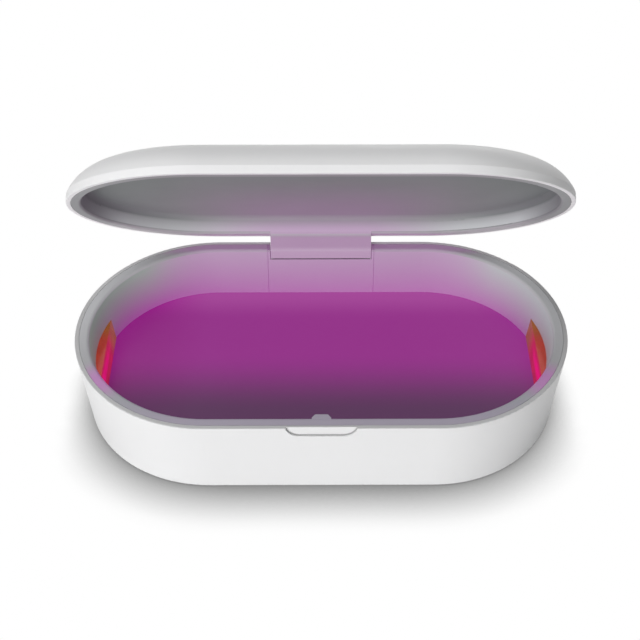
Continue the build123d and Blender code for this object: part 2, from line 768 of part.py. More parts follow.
for side, end_name in ((1, "right"), (-1, "left")):
    lamp_end = Plane.XY if side == 1 else Plane.XY.rotated((0, 0, 180))
    floor_plane = lamp_end.offset(cavity_floor)

    with BuildPart() as lamp_cover:
        tapered(rim, bezel_inset + lamp_fit, -cavity_depth, liner_draft)
        for wall, mode in ((0, Mode.INTERSECT), (lamp_cover_wall, Mode.SUBTRACT)):
            lean = (lamp_height - wall) * liner_slope
            with BuildSketch(lamp_end * Plane.XZ.offset(-half_width)):
                with BuildLine():
                    Polyline(
                        (lamp_face + wall, cavity_floor),
                        (case_length, cavity_floor),
                        (case_length, cavity_floor + lamp_height - wall),
                        (lamp_face + wall + lean, cavity_floor + lamp_height - wall),
                        close=True,
                    )
                make_face()
            extrude(amount=case_width, mode=mode)
    lamp_cover.part.label = f"lamp_cover_{end_name}"
    export_step(lamp_cover.part, f"parts/lamp_cover_{end_name}.step")

    with BuildPart() as reflector:
        with BuildSketch(floor_plane):
            with Locations((channel_front, 0)):
                Rectangle(channel_back - channel_front, 2 * channel_half, align=(Align.MIN, Align.CENTER))
        extrude(amount=channel_height)
        with BuildSketch(floor_plane.offset(channel_sheet)):
            with Locations((channel_front, 0)):
                Rectangle(holder_span, 2 * channel_half, align=(Align.MIN, Align.CENTER))
        extrude(amount=channel_height - 2 * channel_sheet, mode=Mode.SUBTRACT)
        with BuildSketch(floor_plane):
            with Locations((tube_x, tube_length / 2), (tube_x, -tube_length / 2)):
                Circle(lead_diameter / 2 + fit_gap)
        extrude(amount=channel_sheet, mode=Mode.SUBTRACT)
    reflector.part.label = f"lamp_reflector_{end_name}"
    export_step(reflector.part, f"parts/lamp_reflector_{end_name}.step")

    with BuildPart() as tube:
        with BuildSketch(lamp_end * Plane.XZ.offset(tube_length / 2)):
            with Locations((tube_x, tube_z)):
                Circle(tube_diameter / 2)
        extrude(amount=-tube_length)
        fillet(tube.edges().filter_by(GeomType.CIRCLE), tube_diameter / 4)
    tube.part.label = f"uv_tube_{end_name}"
    export_step(tube.part, f"parts/uv_tube_{end_name}.step")

    with BuildPart() as holders:
        for end in (1, -1):
            with BuildSketch(floor_plane.offset(channel_sheet)):
                with Locations((channel_front, end * (channel_half - holder_length / 2))):
                    Rectangle(holder_span, holder_length, align=(Align.MIN, Align.CENTER))
            extrude(amount=channel_height - 2 * channel_sheet)
        with BuildSketch(lamp_end * Plane.XZ.offset(tube_length / 2)):
            with Locations((tube_x, tube_z)):
                Circle(tube_diameter / 2 + tube_bore_gap)
        extrude(amount=-tube_length, mode=Mode.SUBTRACT)
    holders.part.label = f"tube_holders_{end_name}"
    export_step(holders.part, f"parts/tube_holders_{end_name}.step")

    with BuildPart() as lead:
        for end, plug_y in zip((-1, 1), connector_y):
            start_y = end * tube_length / 2
            points = [
                (side * tube_x, start_y, cavity_floor + channel_sheet),
                (side * tube_x, start_y, lead_height),
                (side * (board_side + lamp_lead_bend[0]), start_y + lamp_lead_swing * end, lead_height),
                (side * (board_side + lamp_lead_bend[1]), plug_y, lead_height),
                (side * board_side, plug_y, lead_height),
            ]
            with BuildLine():
                FilletPolyline(*points, radius=lamp_lead_rounds)
            with BuildSketch(Plane(origin=points[0], z_dir=(0, 0, -1))):
                Circle(lead_diameter / 2)
            sweep()
    lead.part.label = f"lamp_leads_{end_name}"
    export_step(lead.part, f"parts/lamp_leads_{end_name}.step")

# ---- Hinge pin and friction washers ----
with BuildPart() as hinge_pin:
    with BuildSketch(side_plane):
        with Locations((hinge_y, hinge_z)):
            Circle(pin_diameter / 2)
    extrude(amount=ear_outer, both=True)
hinge_pin.part.label = "hinge_pin"
export_step(hinge_pin.part, "parts/hinge_pin.step")

with BuildPart() as friction_washers:
    for side in (1, -1):
        with BuildSketch(side_plane.offset(side * (knuckle_half + washer_gap))):
            with Locations((hinge_y, hinge_z)):
                Circle(pin_diameter / 2 + pin_running_gap + washer_width)
                Circle(pin_diameter / 2 + pin_running_gap, mode=Mode.SUBTRACT)
        extrude(amount=side * washer_thickness)
friction_washers.part.label = "friction_washers"
export_step(friction_washers.part, "parts/friction_washers.step")

# ---- Lid, built where it rests open ----
lid_up = Axis(lid_rim.origin, lid_rim.z_dir)
lid_ceiling = lid_depth + lid_liner_wall
lid_height = lid_band + lid_shoulder * (1 - sin(radians(lid_crease)))

with BuildPart() as lid_shell:
    lid_dome(0)
    fillet(lid_shell.edges().group_by(lid_up)[0], edge_round)
    lid_dome(shell_wall, Mode.SUBTRACT)
    with BuildSketch(lid_rim):
        obround(lip_width)
    extrude(amount=bezel_thickness, mode=Mode.SUBTRACT)
    # Posts that the liner is staked to
    with BuildSketch(lid_rim.offset(lid_ceiling)):
        with GridLocations(2 * end_centre, case_width / 2, 2, 2):
            Circle(post_diameter / 2)
        with GridLocations(case_length * 2 / 3, 0, 2, 1):
            Circle(post_diameter / 2)
    extrude(amount=lid_height - shell_wall / 2 - lid_ceiling)
lid_shell.part.label = "lid_shell"
export_step(lid_shell.part, "parts/lid_shell.step")

with BuildPart() as lid_hollow:
    tapered(lid_rim, bezel_inset, lid_depth, liner_draft)
    fillet(lid_hollow.edges().group_by(lid_up)[-1], lid_corner)

lid_wall_y = half_width - bezel_inset
lug_corners = [
    (hinge_y, hinge_z),
    lid_point(hinge_y, 0),
    lid_point(half_width - bezel_outer, 0),
    lid_point(lid_wall_y + lid_liner_wall / 2, bezel_thickness),
    lid_point(lid_wall_y - bezel_thickness * liner_slope, bezel_thickness),
    lid_point(lid_wall_y, 0),
    (inner_wall_y(base_height - lug_crease), base_height - lug_crease),
    (notch_y, base_height - lug_drop),
]

with BuildPart() as lid_liner:
    tapered(lid_rim, bezel_inset - lid_liner_wall, lid_ceiling, liner_draft)
    fillet(lid_liner.edges().group_by(lid_up)[-1], lid_corner + lid_liner_wall)
    with BuildSketch(lid_rim):
        obround(bezel_outer)
    extrude(amount=bezel_thickness)
    add(lid_hollow.part, mode=Mode.SUBTRACT)
    inner_rim = lid_liner.faces().sort_by(lid_up)[0].inner_wires()[0].edges()
    fillet(inner_rim, bezel_round)
    # Lug: flush with the lid's inner wall above and with the cavity's back wall below
    with BuildSketch(side_plane):
        with BuildLine():
            Polyline(*lug_corners, close=True)
        make_face()
        with Locations((hinge_y, hinge_z)):
            Circle(ear_pocket, mode=Mode.SUBTRACT)
    extrude(amount=lug_half, both=True)
    # Knuckle between the ears
    with BuildSketch(side_plane):
        with BuildLine():
            Polyline(*lug_corners, close=True)
        make_face()
        with Locations((hinge_y, hinge_z)):
            Circle(barrel_radius)
            Circle(pin_diameter / 2 + pin_running_gap, mode=Mode.SUBTRACT)
    extrude(amount=knuckle_half, both=True)
lid_liner.part.label = "lid_liner"
export_step(lid_liner.part, "parts/lid_liner.step")

with BuildPart() as lid_magnet:
    with BuildSketch(lid_rim.offset(bezel_thickness)):
        with Locations((0, magnet_inset - half_width)):
            Rectangle(magnet_size[0], magnet_size[1], align=(Align.CENTER, Align.MIN))
    extrude(amount=magnet_size[2])
lid_magnet.part.label = "lid_magnet"
export_step(lid_magnet.part, "parts/lid_magnet.step")
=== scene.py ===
import math

import bpy
from mathutils import Matrix, Vector

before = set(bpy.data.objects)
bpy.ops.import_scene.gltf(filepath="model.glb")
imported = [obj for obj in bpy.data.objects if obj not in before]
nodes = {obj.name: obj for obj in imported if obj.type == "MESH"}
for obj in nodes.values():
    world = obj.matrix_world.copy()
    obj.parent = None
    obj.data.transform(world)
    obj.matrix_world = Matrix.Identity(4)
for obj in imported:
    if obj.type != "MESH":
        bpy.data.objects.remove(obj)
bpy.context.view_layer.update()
print("frame loaded,", len(nodes), "CAD nodes")

mm = 0.001
number, colour = "NodeSocketFloat", "NodeSocketColor"
falling = (1.0, 0.0)


def rgb(red, green, blue):
    return (red, green, blue, 1.0)


black = rgb(0.0, 0.0, 0.0)
white = rgb(1.0, 1.0, 1.0)


def shaded(tone, share):  # the same tone, darker
    return tuple(part * share for part in tone[:3]) + (1.0,)


# small helpers for node trees
def feed(tree, node, inputs):  # links or sets a node's sockets, by name or number
    for name, source in inputs.items():
        socket = node.inputs[name]
        if isinstance(source, bpy.types.NodeSocket):
            tree.links.new(source, socket)
        else:
            socket.default_value = source


def put(tree, kind, inputs=None, **settings):
    node = tree.nodes.new(kind)
    for name, setting in settings.items():
        setattr(node, name, setting)
    feed(tree, node, inputs or {})
    return node


def coords(tree):
    return put(tree, "ShaderNodeTexCoord").outputs


def split(tree, vector):  # its X, Y and Z
    return put(tree, "ShaderNodeSeparateXYZ", {0: vector}).outputs


def calc(tree, operation, first, second=0.0, clamp=False):
    node = put(tree, "ShaderNodeMath", {0: first, 1: second}, operation=operation, use_clamp=clamp)
    return node.outputs[0]


def product(tree, first, *others):
    for other in others:
        first = calc(tree, "MULTIPLY", first, other)
    return first


def distance(tree, across, along):
    squares = calc(tree, "ADD", product(tree, across, across), product(tree, along, along))
    return calc(tree, "SQRT", squares)


def dot(tree, first, second):
    node = put(tree, "ShaderNodeVectorMath", {0: first, 1: second}, operation="DOT_PRODUCT")
    return node.outputs["Value"]


def span(tree, source, limits, result=(0.0, 1.0), smooth=True):  # maps the limits to the result
    sockets = {"Value": source, "From Min": limits[0], "From Max": limits[1]}
    sockets.update({"To Min": result[0], "To Max": result[1]})
    kind = "SMOOTHSTEP" if smooth else "LINEAR"
    return put(tree, "ShaderNodeMapRange", sockets, interpolation_type=kind).outputs["Result"]


def mixColour(tree, factor, first, second, blend="MIX"):  # 6 and 7 are the node's colour sockets
    node = put(tree, "ShaderNodeMix", {0: factor, 6: first, 7: second}, data_type="RGBA", blend_type=blend)
    return node.outputs[2]


def noise(tree, vector, scale, detail=2.0, rough=0.5):
    sockets = {"Vector": vector, "Scale": scale, "Detail": detail, "Roughness": rough}
    return put(tree, "ShaderNodeTexNoise", sockets).outputs["Fac"]


def plainRay(tree):  # what is seen straight or in gloss and glass, and not what lights the surfaces
    rays = put(tree, "ShaderNodeLightPath").outputs
    mirrored = calc(tree, "MAXIMUM", rays["Is Glossy Ray"], rays["Is Transmission Ray"])
    return calc(tree, "MAXIMUM", rays["Is Camera Ray"], mirrored)


def newGroup(name, outputs, inputs=()):
    tree = bpy.data.node_groups.new(name, "ShaderNodeTree")
    for label, kind, start in inputs:
        socket = tree.interface.new_socket(label, in_out="INPUT", socket_type=kind)
        socket.default_value = start
    for label, kind in outputs:
        tree.interface.new_socket(label, in_out="OUTPUT", socket_type=kind)
    return tree, tree.nodes.new("NodeGroupOutput"), tree.nodes.new("NodeGroupInput").outputs


def place(tree, group, **settings):
    return put(tree, "ShaderNodeGroup", settings, node_tree=group).outputs


# fine spark-eroded grain of moulded plastic
mould = {"size": 2600.0, "cloudSize": 30.0, "cellSize": 0.6, "fineShare": 0.7, "cellShare": 0.4}


def makeMouldedGrain():
    inputs = [("Size", number, mould["size"]), ("Cloud", number, mould["cloudSize"])]
    tree, made, given = newGroup("mouldedGrain", [("Height", number), ("Cloudy", number)], inputs)
    spot = coords(tree)["Object"]
    fine = noise(tree, spot, given["Size"], detail=2.0, rough=0.6)
    cellScale = product(tree, given["Size"], mould["cellSize"])
    cells = put(tree, "ShaderNodeTexVoronoi", {"Vector": spot, "Scale": cellScale}).outputs["Distance"]
    fineHeight = product(tree, fine, mould["fineShare"])
    height = calc(tree, "ADD", fineHeight, product(tree, cells, mould["cellShare"]))
    cloud = noise(tree, spot, given["Cloud"], detail=3.0, rough=0.55)
    feed(tree, made, {"Height": height, "Cloudy": cloud})
    return tree


# where handling has polished or scuffed the edges
rub = {"reach": 0.6 * mm, "breakup": 180.0, "turned": (0.995, 0.8), "patches": (0.3, 0.7)}


def makeRubbedEdge():
    inputs = [("Reach", number, rub["reach"]), ("Breakup", number, rub["breakup"])]
    tree, made, given = newGroup("rubbedEdge", [("Mask", number)], inputs)
    rounded = put(tree, "ShaderNodeBevel", {"Radius": given["Reach"]}, samples=4).outputs["Normal"]
    flat = put(tree, "ShaderNodeNewGeometry").outputs["Normal"]
    edge = span(tree, dot(tree, rounded, flat), rub["turned"])
    speckle = noise(tree, coords(tree)["Object"], given["Breakup"], detail=3.0, rough=0.6)
    feed(tree, made, {"Mask": product(tree, edge, span(tree, speckle, rub["patches"]))})
    return tree


# a faint veil on what faces up
veil = {"amount": 0.2, "size": 90.0, "upward": (0.55, 1.0), "specks": (0.45, 0.75)}


def makeSettledDust():
    inputs = [("Amount", number, veil["amount"]), ("Size", number, veil["size"])]
    tree, made, given = newGroup("settledDust", [("Mask", number)], inputs)
    normal = put(tree, "ShaderNodeNewGeometry").outputs["Normal"]
    up = span(tree, split(tree, normal)["Z"], veil["upward"])
    speckle = noise(tree, coords(tree)["Object"], given["Size"], detail=5.0, rough=0.65)
    feed(tree, made, {"Mask": product(tree, up, span(tree, speckle, veil["specks"]), given["Amount"])})
    return tree


# the shade gathered in seams and inner corners
seam = {"reach": 1.2 * mm, "closed": (0.92, 0.5)}


def makeCrevice():
    tree, made, given = newGroup("crevice", [("Mask", number)], [("Reach", number, seam["reach"])])
    clear = put(tree, "ShaderNodeAmbientOcclusion", {"Distance": given["Reach"]}, samples=8).outputs["AO"]
    feed(tree, made, {"Mask": span(tree, clear, seam["closed"])})
    return tree


# painted light inside the cavity: an emitted colour for the ultraviolet lamps' violet light, strongest low
# and at the back, with grey painted light on the upper walls and the bezel's ends
glow = {
    "floorHeight": 16.3 * mm,
    "floorBlend": (16.4 * mm, 16.7 * mm),
    "rimHeight": 40.6 * mm,
    "rimBlend": (40.6 * mm, 40.9 * mm),
    # the floor, from its front edge to the back, and what its left end is multiplied by
    "floorEdge": rgb(0.025, 0.004, 0.025),
    "floorFront": rgb(0.055, 0.014, 0.055),
    "floorMiddle": rgb(0.255, 0.014, 0.21),
    "floorBack": rgb(0.32, 0.045, 0.265),
    "floorLeft": rgb(0.88, 0.0, 0.82),
    "edgeY": (-34 * mm, -50 * mm),
    "litY": (-30 * mm, 10 * mm),
    "backY": (34 * mm, 53 * mm),
    "leftX": (-52 * mm, -90 * mm),
    # the walls, at their foot and up by the rim, where grey painted light is brighter toward the right and
    # violet at the back
    "wallLow": rgb(0.22, 0.0, 0.20),
    "lowY": (-15 * mm, 52 * mm),
    "lowShare": (0.2, 1.0),
    "rimLeft": rgb(0.06, 0.13, 0.075),
    "rimRight": rgb(0.13, 0.175, 0.155),
    "rimBack": rgb(0.145, 0.022, 0.145),
    "rimX": (0.0, 85 * mm),
    "rimY": (43 * mm, 57 * mm),
    # the bezel, with grey painted light at its ends and violet at its front and back
    "bezelEnds": rgb(0.135, 0.138, 0.14),
    "bezelFront": rgb(0.0, 0.0, 0.02),
    "bezelBack": rgb(0.09, 0.0, 0.09),
    "endsX": (62 * mm, 98 * mm),
    "endsY": (-40 * mm, 20 * mm),
    "bezelFrontY": (-30 * mm, -52 * mm),
    "bezelBackY": (52 * mm, 58 * mm),
    # painted light on the bezel beside the near ends of the lamps: a violet glow, and lilac painted into
    # its colour there and, faintly, along the front
    "lampEnd": (99 * mm, -34.5 * mm),
    "hazeReach": (2 * mm, 15 * mm),
    "haze": rgb(0.075, 0.0, 0.06),
    "paintedGlowTone": rgb(0.50, 0.30, 0.515),
    "tintY": (-44 * mm, -58 * mm),
    "tintShare": (0.0, 0.2),
    # what faces the back, behind the cavity, stays unlit
    "outsideY": (15 * mm, 25 * mm),
    "outsideFacing": (0.05, 0.35),
}


def makeLampGlow():
    tree, made = newGroup("lampGlow", [("Light", colour), ("Floor", number), ("PaintedGlow", number)])[:2]
    source = coords(tree)
    axes = split(tree, source["Object"])
    outward = calc(tree, "ABSOLUTE", axes["X"])

    edge = span(tree, axes["Y"], glow["edgeY"])
    lit = span(tree, axes["Y"], glow["litY"])
    back = span(tree, axes["Y"], glow["backY"])
    left = span(tree, axes["X"], glow["leftX"])
    floorLight = mixColour(tree, edge, glow["floorFront"], glow["floorEdge"])
    floorLight = mixColour(tree, lit, floorLight, glow["floorMiddle"])
    floorLight = mixColour(tree, back, floorLight, glow["floorBack"])
    floorLight = mixColour(tree, left, floorLight, glow["floorLeft"], blend="MULTIPLY")

    rim = mixColour(tree, span(tree, axes["X"], glow["rimX"]), glow["rimLeft"], glow["rimRight"])
    rim = mixColour(tree, span(tree, axes["Y"], glow["rimY"]), rim, glow["rimBack"])
    low = mixColour(tree, span(tree, axes["Y"], glow["lowY"], glow["lowShare"]), black, glow["wallLow"])
    high = span(tree, axes["Z"], (glow["floorHeight"], glow["rimHeight"]), smooth=False)
    wall = mixColour(tree, high, low, rim)

    toEnd = calc(tree, "SUBTRACT", outward, glow["lampEnd"][0])
    along = calc(tree, "SUBTRACT", axes["Y"], glow["lampEnd"][1])
    haze = span(tree, distance(tree, toEnd, along), glow["hazeReach"], falling)
    ends = product(tree, span(tree, outward, glow["endsX"]), span(tree, axes["Y"], glow["endsY"]))
    bezel = mixColour(tree, ends, black, glow["bezelEnds"])
    bezel = mixColour(tree, span(tree, axes["Y"], glow["bezelFrontY"]), bezel, glow["bezelFront"])
    bezel = mixColour(tree, span(tree, axes["Y"], glow["bezelBackY"]), bezel, glow["bezelBack"])
    bezel = mixColour(tree, haze, bezel, glow["haze"])

    onFloor = span(tree, axes["Z"], glow["floorBlend"], falling)
    light = mixColour(tree, span(tree, axes["Z"], glow["rimBlend"], falling), bezel, wall)
    light = mixColour(tree, onFloor, light, floorLight)
    backward = span(tree, split(tree, source["Normal"])["Y"], glow["outsideFacing"])
    outside = product(tree, span(tree, axes["Y"], glow["outsideY"]), backward)
    light = mixColour(tree, outside, light, black)
    paintedTint = calc(tree, "MAXIMUM", haze, span(tree, axes["Y"], glow["tintY"], glow["tintShare"]))
    feed(tree, made, {"Light": light, "Floor": onFloor, "PaintedGlow": paintedTint})
    return tree


# painted light: an emitted colour for what the lid's liner catches of the cavity's light, strongest in the
# middle by the hinge, and grey painted light on the walls, brighter on the right
lidGlow = {
    "hinge": (66.4 * mm, 41.5 * mm),  # its Y and Z
    "faceDown": (0.0, -0.769, -0.639),  # the way the ceiling faces with the lid open
    "ceilingFacing": (0.08, 0.42),
    "fromHinge": (100 * mm, 12 * mm),
    "middleX": (15 * mm, 75 * mm),
    "endsX": (45 * mm, 105 * mm),
    "tipX": (92 * mm, 110 * mm),
    "sideX": (-90 * mm, 90 * mm),
    "rimwardDepth": (8.5 * mm, 1.5 * mm),
    "rimDepth": (2.0 * mm, 1.2 * mm),
    "rimwardLight": (0.5, 1.3),
    "light": rgb(0.045, 0.0, 0.045),
    "wallLight": rgb(0.10, 0.0, 0.10),
    "wallLeft": rgb(0.06, 0.065, 0.065),
    "wallRight": rgb(0.10, 0.11, 0.11),
    "lugZ": (49.0 * mm, 47.0 * mm),
    "footZ": (43.5 * mm, 41.5 * mm),
    "lugBack": (-0.25, 0.1),
    "lugLight": rgb(0.135, 0.004, 0.135),
    "lugFoot": rgb(0.22, 0.09, 0.22),
}


def makeLidGlow():
    masks = ("Ceiling", "Far", "Ends", "Lug", "Rimward", "Tip", "Rim")
    tree, made = newGroup("lidGlow", [("Light", colour)] + [(mask, number) for mask in masks])[:2]
    source = coords(tree)
    axes = split(tree, source["Object"])
    side = calc(tree, "ABSOLUTE", axes["X"])
    across = calc(tree, "SUBTRACT", axes["Y"], lidGlow["hinge"][0])
    up = calc(tree, "SUBTRACT", axes["Z"], lidGlow["hinge"][1])
    depth = product(tree, across, -lidGlow["faceDown"][1])
    depth = calc(tree, "ADD", depth, product(tree, up, -lidGlow["faceDown"][2]))

    near = span(tree, distance(tree, across, up), lidGlow["fromHinge"])
    ceiling = span(tree, dot(tree, source["Normal"], lidGlow["faceDown"]), lidGlow["ceilingFacing"])
    tip = span(tree, side, lidGlow["tipX"])
    rimward = span(tree, depth, lidGlow["rimwardDepth"])
    lug = span(tree, axes["Z"], lidGlow["lugZ"])
    rim = calc(tree, "SUBTRACT", span(tree, depth, lidGlow["rimDepth"]), lug, clamp=True)

    light = mixColour(tree, ceiling, lidGlow["wallLight"], lidGlow["light"])
    rightward = span(tree, axes["X"], lidGlow["sideX"])
    edge = mixColour(tree, rightward, lidGlow["wallLeft"], lidGlow["wallRight"])
    edge = mixColour(tree, calc(tree, "MAXIMUM", ceiling, tip), edge, black)
    central = product(tree, near, span(tree, side, lidGlow["middleX"], falling))
    light = mixColour(tree, central, edge, light)
    share = span(tree, rimward, (0.0, 1.0), lidGlow["rimwardLight"])
    light = mixColour(tree, ceiling, mixColour(tree, 1.0, light, share, blend="MULTIPLY"), light)
    foot = span(tree, axes["Z"], lidGlow["footZ"])
    light = mixColour(tree, lug, light, mixColour(tree, foot, lidGlow["lugLight"], lidGlow["lugFoot"]))
    outside = product(tree, lug, span(tree, split(tree, source["Normal"])["Y"], lidGlow["lugBack"]))
    light = mixColour(tree, outside, light, black)
    feed(tree, made, {"Light": light, "Ceiling": ceiling, "Far": calc(tree, "SUBTRACT", 1.0, near)})
    feed(tree, made, {"Ends": span(tree, side, lidGlow["endsX"]), "Tip": tip, "Lug": lug})
    feed(tree, made, {"Rimward": rimward, "Rim": rim})
    return tree


mouldedGrain = makeMouldedGrain()
rubbedEdge = makeRubbedEdge()
settledDust = makeSettledDust()
crevice = makeCrevice()
lampGlow = makeLampGlow()
lidLight = makeLidGlow()
print("shared effects made")

bumpHeight = 0.02 * mm


def newFinish(name, shader):
    material = bpy.data.materials.new(name)
    material.use_nodes = True
    tree = material.node_tree
    surface = tree.nodes["Principled BSDF"]
    feed(tree, surface, shader)
    return material, tree, surface


def bumpFrom(tree, height, strength):
    sockets = {"Height": height, "Strength": strength, "Distance": bumpHeight}
    return put(tree, "ShaderNodeBump", sockets).outputs["Normal"]


# every moulded plastic, apart from what a finish says of its own
plastic = {
    "rough": 0.4,
    "grain": 2600.0,
    "depth": 0.25,
    "mirror": 0.3,
    "dust": 0.0,
    "wear": 0.0,
    "shade": 0.0,
    "cloudTone": 0.9,
    "cloudReach": (0.25, 0.75),
    "cloudShare": (0.94, 1.0),
    "glossReach": (0.2, 0.8),
    "glossChange": (-0.04, 0.05),
    "dustTone": rgb(0.55, 0.54, 0.52),
    "wornTone": rgb(0.9, 0.9, 0.9),
    "shadeTone": rgb(0.24, 0.24, 0.245),
}


def plasticFinish(name, base, **own):
    look = {**plastic, **own}
    material, tree, surface = newFinish(name, {"IOR": 1.5, "Specular IOR Level": look["mirror"]})
    grain = place(tree, mouldedGrain, Size=look["grain"])
    clouds = span(tree, grain["Cloudy"], look["cloudReach"], look["cloudShare"])
    tone = mixColour(tree, clouds, shaded(base, look["cloudTone"]), base)
    if look["dust"]:
        dusty = place(tree, settledDust, Amount=look["dust"])["Mask"]
        tone = mixColour(tree, dusty, tone, look["dustTone"])
    if look["wear"]:
        edge = product(tree, place(tree, rubbedEdge)["Mask"], look["wear"])
        tone = mixColour(tree, edge, tone, look["wornTone"])
    if look["shade"]:
        corner = product(tree, place(tree, crevice)["Mask"], look["shade"])
        tone = mixColour(tree, corner, tone, look["shadeTone"])
    gloss = [look["rough"] + change for change in look["glossChange"]]
    roughness = span(tree, grain["Cloudy"], look["glossReach"], gloss)
    bump = bumpFrom(tree, grain["Height"], look["depth"])
    feed(tree, surface, {"Base Color": tone, "Roughness": roughness, "Normal": bump})
    return material, tree, surface, tone


# the white shells, and painted shade that greys the narrow upward-facing lip around the base's opening,
# toward the front
shell = {
    "base": rgb(0.84, 0.84, 0.845),
    "rough": 0.36,
    "mirror": 0.12,
    "dust": 0.04,
    "wear": 0.3,
    "shade": 0.8,
}
paintedLipShade = {
    "tone": rgb(0.60, 0.60, 0.605),
    "height": (41.2 * mm, 41.6 * mm),
    "upward": (0.3, 0.9),
    "frontY": (10 * mm, 45 * mm),
}


def baseShellFinish():
    material, tree, surface, tone = plasticFinish("whiteBase", **shell)
    source = coords(tree)
    axes = split(tree, source["Object"])
    # painted shade on the lip's upward faces, toward the front
    upward = span(tree, split(tree, source["Normal"])["Z"], paintedLipShade["upward"])
    front = span(tree, axes["Y"], paintedLipShade["frontY"], falling)
    paintedLip = product(tree, span(tree, axes["Z"], paintedLipShade["height"]), upward, front)
    feed(tree, surface, {"Base Color": mixColour(tree, paintedLip, tone, paintedLipShade["tone"])})
    return material


whiteShell = plasticFinish("whiteShell", **shell)[0]
whiteBase = baseShellFinish()

# the grey inside of the base, with painted shade on the cavity's floor: a deeper violet grey
liner = {"base": rgb(0.435, 0.435, 0.45), "rough": 0.5, "grain": 1900.0, "depth": 0.4}
paintedFloorShade = rgb(0.09, 0.053, 0.09)


def linerFinish():
    material, tree, surface, tone = plasticFinish("greyLiner", **liner)
    lit = place(tree, lampGlow)
    # painted light and shade in the colour: lilac where the lamps' light falls on the bezel, and the
    # floor's painted shade
    tone = mixColour(tree, lit["PaintedGlow"], tone, glow["paintedGlowTone"])
    tone = mixColour(tree, lit["Floor"], tone, paintedFloorShade)
    feed(tree, surface, {"Base Color": tone, "Emission Color": lit["Light"], "Emission Strength": 1.0})
    return material


greyLiner = linerFinish()

# the grey inside of the lid, with painted shade in its colour: darker far from the hinge, toward the ends
# and deep inside, and lighter on the rim near the hinge
lidLiner = {"base": rgb(0.55, 0.56, 0.57), "rough": 0.5, "grain": 1900.0, "depth": 0.4}
paintedLidShade = {
    "ceilingNear": rgb(0.325, 0.34, 0.34),
    "ceilingFar": rgb(0.235, 0.28, 0.255),
    "endsNear": rgb(0.235, 0.255, 0.255),
    "endsFar": rgb(0.145, 0.168, 0.16),
    "wallDeep": rgb(0.36, 0.365, 0.375),
    "wallTip": rgb(0.31, 0.325, 0.33),
    "rimNear": rgb(0.50, 0.505, 0.515),
    "rimFar": rgb(0.34, 0.35, 0.355),
    "rimTip": rgb(0.27, 0.28, 0.285),
    "lug": rgb(0.34, 0.34, 0.345),
}


def lidFinish():
    material, tree, surface, tone = plasticFinish("greyLid", **lidLiner)
    lit = place(tree, lidLight)
    # painted shade on the ceiling, walls, rim and lug
    middle = mixColour(tree, lit["Far"], paintedLidShade["ceilingNear"], paintedLidShade["ceilingFar"])
    ends = mixColour(tree, lit["Far"], paintedLidShade["endsNear"], paintedLidShade["endsFar"])
    ceiling = mixColour(tree, lit["Ends"], middle, ends)
    rim = mixColour(tree, lit["Far"], paintedLidShade["rimNear"], paintedLidShade["rimFar"])
    rim = mixColour(tree, lit["Tip"], rim, paintedLidShade["rimTip"])
    tone = mixColour(tree, lit["Rimward"], paintedLidShade["wallDeep"], tone)
    tone = mixColour(tree, lit["Tip"], tone, paintedLidShade["wallTip"])
    tone = mixColour(tree, lit["Ceiling"], tone, ceiling)
    tone = mixColour(tree, lit["Rim"], tone, rim)
    tone = mixColour(tree, lit["Lug"], tone, paintedLidShade["lug"])
    feed(tree, surface, {"Base Color": tone, "Emission Color": lit["Light"], "Emission Strength": 1.0})
    return material


greyLid = lidFinish()
footRubber = plasticFinish("footRubber", rgb(0.3, 0.3, 0.31), rough=0.75, grain=1400.0, depth=0.5)[0]
plainWhite = plasticFinish("plainWhite", rgb(0.8, 0.8, 0.81))[0]
blackResin = plasticFinish("blackResin", rgb(0.02, 0.02, 0.022), rough=0.45)[0]
boardGreen = plasticFinish("boardGreen", rgb(0.015, 0.09, 0.035), rough=0.3, grain=900.0)[0]
nylonCream = plasticFinish("nylonCream", rgb(0.72, 0.66, 0.5), rough=0.45)[0]
siliconeWhite = plasticFinish("siliconeWhite", rgb(0.75, 0.72, 0.68), rough=0.6)[0]
phenolicBrown = plasticFinish("phenolicBrown", rgb(0.11, 0.045, 0.02), rough=0.55)[0]
sleeveWhite = plasticFinish("sleeveWhite", rgb(0.75, 0.75, 0.75), rough=0.35)[0]
sleeveBlack = plasticFinish("sleeveBlack", rgb(0.02, 0.02, 0.022), rough=0.35)[0]
clearPipe = newFinish("clearPipe", {"Roughness": 0.1, "IOR": 1.58, "Transmission Weight": 0.9})[0]

# fine drawn lines along the metal
metal = {
    "stretch": (40.0, 900.0, 900.0),
    "scale": 3.0,
    "lineTone": 0.8,
    "lineReach": (0.2, 0.8),
    "glossChange": (-0.06, 0.08),
    "depth": 0.2,
}


def metalFinish(name, base, rough):
    material, tree, surface = newFinish(name, {"Metallic": 1.0})
    drawn = {"Vector": coords(tree)["Object"], "Scale": metal["stretch"]}
    drawn = put(tree, "ShaderNodeMapping", drawn).outputs[0]
    lines = noise(tree, drawn, metal["scale"], detail=3.0, rough=0.6)
    tone = mixColour(tree, lines, shaded(base, metal["lineTone"]), base)
    gloss = [rough + change for change in metal["glossChange"]]
    roughness = span(tree, lines, metal["lineReach"], gloss)
    bump = bumpFrom(tree, lines, metal["depth"])
    feed(tree, surface, {"Base Color": tone, "Roughness": roughness, "Normal": bump})
    return material


zincSteel = metalFinish("zincSteel", rgb(0.6, 0.6, 0.6), 0.35)
polishedSteel = metalFinish("polishedSteel", rgb(0.7, 0.7, 0.7), 0.16)
brightSheet = metalFinish("brightSheet", rgb(0.85, 0.85, 0.86), 0.2)

tube = {
    "endsY": (9 * mm, 15 * mm),
    "middleGlow": rgb(0.9, 0.02, 0.2),
    "endGlow": rgb(0.5, 0.02, 0.2),
    "middle": rgb(0.6, 0.05, 0.3),
    "end": rgb(0.3, 0.05, 0.2),
}


